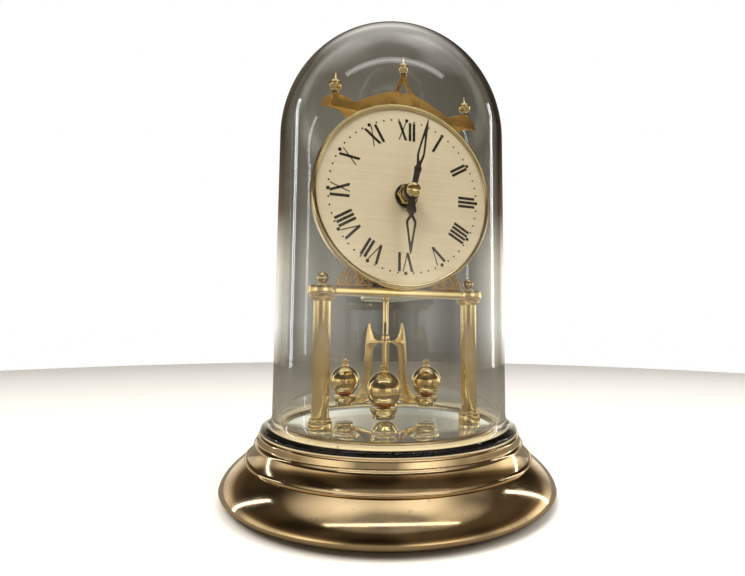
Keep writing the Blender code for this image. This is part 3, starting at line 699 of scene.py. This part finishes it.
def make_centre():
    """The bush through the dial, its washer and nut, and the domed nut that holds the hands."""
    washer = [(5.6, 0.3), (5.6, 0.9), (3.8, 0.9), (3.8, 0.3)]
    lathe("dial_washer_turned", rounded(washer, 0.15), DIAL, "black_paint", nodes=["dial_washer"],
          axis="front", steps=64)
    bush = [(3.5, 4.4), (3.5, -5.6), (2.9, -5.6), (2.9, 4.4)]
    lathe("threaded_bush_turned", rounded(bush, 0.3), DIAL, "polished_brass", nodes=["threaded_bush"],
          axis="front", steps=64)
    nut_at = Vector((DIAL.x, middle("dial_nut").y, DIAL.z))
    sheet_metal("dial_nut_hex", [rounded(circle(5.2, 6), 0.4), circle(3.8, 40)], 2.6, nut_at,
                "polished_brass", nodes=["dial_nut"], edge=0.35)
    nut = [(0, 12.3), (1.2, 12.28), (2.2, 12.0), (2.9, 11.5), (3.2, 10.9), (3.3, 10.4), (3.3, 10.15),
           (3.1, 10.1), (1.4, 10.1), (1.4, 11.2), (0, 11.2)]
    lathe("hand_nut_turned", nut, DIAL, "polished_brass", "minute_arbor", ["hand_nut"], "front", 64)


# Movement, as seen from behind

def make_knob():
    """The setting knob: a shaft, then a head whose rim is fluted."""
    at = Vector((middle("setting_knob").x, DIAL.y, middle("setting_knob").z))
    outer = -(high("setting_knob").y - DIAL.y) / MM
    shaft_end, ridges, ridge_depth, steps = -7.9, 24, 0.15, 96
    stages = [(0.8, shaft_end, 0), (0.8, outer + 3.4, 0), (4.6, outer + 3.4, 0), (4.85, outer + 3.1, 1),
              (4.85, outer + 0.6, 1), (4.3, outer + 0.1, 0), (2.6, outer, 0), (2.3, outer + 0.4, 0)]
    bm = bmesh.new()
    rings = [[bm.verts.new((0, 0, shaft_end * MM))]]
    for r, h, ridged in stages:
        ring = []
        for k in range(steps):
            a = 2 * math.pi * k / steps
            swell = (r + ridged * ridge_depth * math.cos(ridges * a)) * MM
            ring.append(bm.verts.new((swell * math.cos(a), swell * math.sin(a), h * MM)))
        rings.append(ring)
    rings.append([bm.verts.new((0, 0, (outer + 0.5) * MM))])
    for a, b in zip(rings, rings[1:]):
        bridge(bm, a, b, steps)
    bm.transform(Matrix.Translation(at) @ FACES["front"].to_4x4())
    finish_piece("setting_knob_fluted", bm, "black_plastic", "setting_arbor", ["setting_knob"])


def make_door_grip():
    """A row of moulded grip ridges on the battery door."""
    count, pitch, size, softness = 6, 2.0, (0.9, 0.5, 9.0), 0.12
    at = Vector((18 * MM, high("battery_door").y + 0.2 * MM, middle("battery_door").z))
    bm = bmesh.new()
    for i in range(count):
        shift = Vector(((i - (count - 1) / 2) * pitch * MM, 0, 0))
        made = bmesh.ops.create_cube(bm, size=1.0)["verts"]
        bmesh.ops.scale(bm, vec=[s * MM for s in size], verts=made)
        bmesh.ops.translate(bm, vec=at + shift, verts=made)
    bmesh.ops.bevel(bm, geom=bm.edges[:], offset=softness * MM, segments=2, affect="EDGES", profile=0.5)
    finish_piece("battery_door_grip", bm, "black_plastic", "battery_lid")


def square(half):
    return [(-half, -half), (half, -half), (half, half), (-half, half)]


def make_cover_details():
    """Four screws in the cover's corners, and a raised line round the setting knob."""
    cover, centre_z, reach = high("movement_cover").y, middle("movement_cover").z, 23.5
    head = [(0, 0.3), (2.2, 0.3), (2.1, -0.1), (1.2, -0.35), (0, -0.35)]
    for i, (sx, sz) in enumerate(((-1, 1), (1, 1), (-1, -0.18), (1, -0.18))):
        at = Vector((sx * reach * MM, cover, centre_z + sz * reach * MM))
        lathe(f"cover_screw_{i + 1}", head, at, "steel", axis="front", steps=40)
    at = Vector((0, cover + 0.2 * MM, middle("setting_knob").z))
    sheet_metal("cover_panel_line", [rounded(square(9.0), 1.5), rounded(square(8.2), 1.2)], 0.5, at,
                "black_plastic", edge=0.1)


# Pendulum

def hub_profile():
    """A domed boss under a slim stem with a ring near its top."""
    z = PENDULUM.z / MM
    stem_r, ring_r, top = 1.95, 2.6, z + 40.4
    boss = smooth([(3.0, z + 0.25), (4.7, z + 1.2), (5.6, z + 2.2), (6.9, z + 4.2), (6.9, z + 6.2),
                   (5.2, z + 7.6), (2.6, z + 8.8)], 5, False)
    stem = [(stem_r, z + 9.4), (stem_r, z + 36.0), (ring_r, z + 36.8), (ring_r, z + 38.0),
            (stem_r, z + 38.6), (stem_r, top)]
    return [(0, z), (2.2, z)] + boss + rounded(stem, 0.25, False) + [(0, top)]


def rod_profile():
    bottom, top = low("suspension_rod").z / MM, high("suspension_rod").z / MM
    rod_r, head_r, head = 1.45, 2.6, 1.0
    return [(0, bottom), (1.2, bottom), (rod_r, bottom + 0.3), (rod_r, top - head), (head_r, top - head),
            (head_r, top), (0, top)]


def blade_outline():
    """A fin that stands on the hub and sweeps out below into the arm of a ball; (reach, height) points."""
    tip, tip_inner = (10.2, 78.7), (9.3, 78.7)
    arm_end = (19.9, 36.0)
    outer = smooth([tip, (10.9, 76.2), (11.7, 72.0), (12.4, 65.0), (12.7, 58.0), (12.7, 53.0)], 5, False)
    arm_top = bend(outer[-1], (13.8, 44.0), (18.9, 39.2), 14)
    arm_under = bend(arm_end, (11.5, 35.8), (7.4, 38.6), 14)
    inner = smooth([(7.4, 42.0), (8.1, 46.0), (8.4, 54.0), (8.0, 61.5), (7.1, 66.0), (5.2, 67.7),
                    (2.95, 68.3)], 4, False)
    crown = smooth([(2.95, 69.6), (5.0, 69.9), (6.7, 71.2), (8.0, 73.9), (8.9, 77.0), tip_inner], 4, False)
    crown += bend(tip_inner, (9.75, 79.3), tip, 5)[:-1]
    return rounded(outer + arm_top + [arm_end] + arm_under + inner + crown, 0.35)


def cup_profile():
    z = low("cup_front").z / MM
    cup = [(0, 0), (4.5, 0), (4.95, 0.3), (5.05, 0.9), (5.35, 1.6), (5.25, 1.9), (6.1, 3.7), (6.35, 3.9),
           (6.6, 4.5), (6.5, 5.1), (6.1, 5.3), (5.6, 5.2), (3.6, 5.25), (2.0, 4.7), (0, 4.45)]
    return [(r, h + z) for r, h in cup]


def ball_profile():
    """A ball with a raised seam round its middle and a small knob on top."""
    top, radius = high("ball_front").z / MM, 8.1
    z = low("ball_front").z / MM + radius
    ball = [(0, z - radius)] + arc((0, z), radius, -88, 79, 52)
    lower = [(r, h) for r, h in ball if h < z - 0.5]
    upper = [(r, h) for r, h in ball if h > z + 0.5]
    seam = [(8.08, z - 0.42), (8.27, z - 0.34), (8.34, z), (8.27, z + 0.34), (8.08, z + 0.42)]
    knob = [(1.95, top - 3.9)] + smooth(
        [(1.95, top - 3.3), (1.75, top - 2.9), (1.15, top - 2.5), (1.25, top - 2.1), (1.75, top - 1.5),
         (1.72, top - 0.8), (1.2, top - 0.2)], 4, False)
    return lower + seam + upper + knob + [(0, top)]


def make_pendulum():
    """Three polished balls in cups, each on the arm of a fin, round a hub that hangs on its rod."""
    axis, body, brass = Vector((PENDULUM.x, PENDULUM.y, 0)), "pendulum", "polished_brass"
    lathe("pendulum_hub_turned", hub_profile(), axis, brass, body, ["pendulum_hub"], steps=64)
    lathe("suspension_rod_turned", rod_profile(), axis, brass, body, ["suspension_rod"], steps=40)
    for name, degrees in BALL_ANGLES.items():
        angle = math.radians(degrees)
        at = axis + Vector((BALL_REACH * MM * math.cos(angle), BALL_REACH * MM * math.sin(angle), 0))
        lathe(f"cup_{name}_turned", cup_profile(), at, brass, body, [f"cup_{name}"], steps=64)
        lathe(f"ball_{name}_polished", ball_profile(), at, brass, body, [f"ball_{name}"], steps=80)
        facing = Matrix.Rotation(angle, 3, "Z") @ FACES["front"]
        sheet_metal(f"blade_{name}_pressed", [blade_outline()], 1.2, axis, brass, body, [f"blade_{name}"],
                    facing=facing, edge=0.25)


# Stage

def make_stage():
    """A round floor, white to the camera and dim to whatever mirrors it."""
    bm = bmesh.new()
    bmesh.ops.create_circle(bm, cap_ends=True, segments=128, radius=FLOOR_R)
    mesh = bpy.data.meshes.new("floor")
    bm.to_mesh(mesh)
    bm.free()
    floor = bpy.data.objects.new("floor", mesh)
    floor.location.z = cad_box[0][2] - 0.0001
    bpy.context.scene.collection.objects.link(floor)
    material = bpy.data.materials.new("pale_floor")
    mesh.materials.append(material)
    paint = Tree(material)
    shader = paint.tree.nodes["Principled BSDF"]
    shader.inputs["Roughness"].default_value = 0.7
    seen = paint.add("ShaderNodeLightPath").outputs["Is Camera Ray"]
    paint.fill(shader.inputs["Base Color"], paint.mix(seen, (0.20, 0.18, 0.15), (0.92, 0.91, 0.89)))


def area_light(name, azimuth, elevation, distance, size, power, colour=(1, 1, 1), mirrored=True):
    """A soft box aimed at the clock, placed by its direction: azimuth 0 is in front, 90 to the right.
    Metal and glass reflect it only if it is mirrored."""
    data = bpy.data.lights.new(name, "AREA")
    data.shape = "RECTANGLE"
    data.size, data.size_y = size
    data.energy = power
    data.color = colour
    light = bpy.data.objects.new(name, data)
    turn, lift = math.radians(azimuth), math.radians(elevation)
    away = Vector((math.sin(turn) * math.cos(lift), -math.cos(turn) * math.cos(lift), math.sin(lift)))
    aim = Vector((0, 0, 0.12))
    light.location = aim + distance * away
    light.rotation_euler = away.to_track_quat("Z", "Y").to_euler()
    light.visible_camera = False
    light.visible_glossy = light.visible_transmission = mirrored
    bpy.context.scene.collection.objects.link(light)


def make_lights():
    area_light("key", -48, 50, 1.0, (0.6, 0.5), 9.5, (1.0, 0.95, 0.86), False)
    area_light("fill", 40, 35, 1.0, (0.6, 0.5), 4.0, (1.0, 0.97, 0.92), False)
    area_light("top", 60, 84, 1.0, (0.9, 0.9), 7.0, (1, 1, 1), False)
    area_light("strip", -14, 60, 1.1, (1.5, 0.09), 1.2, (1.0, 0.98, 0.94))
    area_light("left_edge", -122, 12, 0.9, (0.03, 0.75), 0.5, (0.92, 0.96, 1.0))
    area_light("right_edge", 98, 12, 0.9, (0.03, 0.75), 0.5, (0.95, 0.97, 1.0))


def colour_band(tree, height, stops):
    """Colours by height, from 0 straight below to 1 straight above."""
    band = tree.add("ShaderNodeValToRGB", Fac=height)
    while len(band.color_ramp.elements) < len(stops):
        band.color_ramp.elements.new(0.5)
    for element, (position, colour) in zip(band.color_ramp.elements, stops):
        element.position = position
        element.color = (*colour, 1.0)
    return band.outputs["Color"]


def make_world():
    """White behind the clock. Its metal mirrors a warm room with a bright horizon, and the dome shows a dim
    wall at the back. Soft patches make both uneven."""
    world = bpy.data.worlds.new("studio")
    bpy.context.scene.world = world
    sky = Tree(world)
    direction = sky.add("ShaderNodeTexCoord").outputs["Generated"]
    split = sky.add("ShaderNodeSeparateXYZ", Vector=direction).outputs
    height = sky.ramp(split["Z"], -1.0, 1.0, 0.0, 1.0)
    warm_room = colour_band(sky, height, (
        (0.0, (0.30, 0.25, 0.19)), (0.47, (0.45, 0.39, 0.30)), (0.51, (1.0, 0.97, 0.88)),
        (0.57, (0.88, 0.80, 0.66)), (0.63, (0.14, 0.10, 0.065)), (0.70, (0.05, 0.038, 0.025)),
        (0.86, (0.07, 0.055, 0.04)), (1.0, (0.95, 0.92, 0.86))))
    dim_wall = colour_band(sky, height, (
        (0.0, (0.30, 0.25, 0.19)), (0.46, (0.20, 0.17, 0.14)), (0.50, (0.13, 0.115, 0.10)),
        (0.60, (0.15, 0.14, 0.125)), (0.70, (0.12, 0.105, 0.085)), (0.82, (0.06, 0.05, 0.04)),
        (0.90, (0.20, 0.18, 0.15)), (1.0, (0.34, 0.32, 0.28))))
    path = sky.add("ShaderNodeLightPath").outputs
    not_mirrored = sky.calculate("LESS_THAN", path["Glossy Depth"], 0.5)
    behind = sky.ramp(split["Y"], -0.35, 0.25, 0.0, 1.0)
    wall_share = sky.calculate("MULTIPLY", not_mirrored, behind)
    stretched = sky.add("ShaderNodeMapping", Vector=direction, Location=(3.1, 1.7, 0.4),
                        Scale=(1.0, 1.0, 0.12)).outputs["Vector"]
    patches = sky.add("ShaderNodeTexNoise", Vector=stretched, Scale=1.9, Detail=0.5).outputs["Fac"]
    room = sky.add("ShaderNodeBackground", Color=sky.mix(wall_share, warm_room, dim_wall),
                   Strength=sky.ramp(patches, 0.38, 0.62, 0.38, 1.65))
    white = sky.add("ShaderNodeBackground", Color=(1.0, 1.0, 1.0, 1.0))
    mix = sky.add("ShaderNodeMixShader", Fac=path["Is Camera Ray"])
    sky.fill(mix.inputs[1], room.outputs["Background"])
    sky.fill(mix.inputs[2], white.outputs["Background"])
    sky.fill(sky.tree.nodes["World Output"].inputs["Surface"], mix.outputs["Shader"])


def set_view():
    scene = bpy.context.scene
    scene.view_settings.view_transform = "Standard"
    scene.cycles.max_bounces = 20
    scene.cycles.glossy_bounces = 10
    scene.cycles.transmission_bounces = 16


def make_camera():
    """A lens close to the clock, a little above its base, looking up and round from its left."""
    place = (-0.06736, -0.21643, 0.07327)
    yaw, pitch, roll = 0.3212, 0.0815, 0.0068
    data = bpy.data.cameras.new("camera")
    data.sensor_width = 36.0
    data.lens = 21.62
    data.shift_x, data.shift_y = -0.0355, 0.0121
    data.clip_start = 0.01
    camera = bpy.data.objects.new("camera", data)
    ahead = Vector((math.sin(yaw) * math.cos(pitch), math.cos(yaw) * math.cos(pitch), math.sin(pitch)))
    across = Vector((math.cos(yaw), -math.sin(yaw), 0))
    upwards = across.cross(ahead)
    x = math.cos(roll) * across + math.sin(roll) * upwards
    y = -math.sin(roll) * across + math.cos(roll) * upwards
    turn = Matrix((x, y, -ahead)).transposed()
    camera.matrix_world = Matrix.Translation(place) @ turn.to_4x4()
    bpy.context.scene.collection.objects.link(camera)
    bpy.context.scene.camera = camera


make_camera()
make_metals()
make_mirror()
make_glass()
make_seat_painted_light()
make_dial_finish()
make_black_paint()
make_plastics()
make_felt()
make_board()
dress_cad_nodes()
make_base()
make_mirror_rim()
make_dome()
make_columns()
make_beam()
make_scrolls()
make_bezel()
make_dial_print()
make_pediment()
make_finials()
make_hands()
make_centre()
make_knob()
make_door_grip()
make_cover_details()
make_pendulum()
make_stage()
make_lights()
make_world()
set_view()
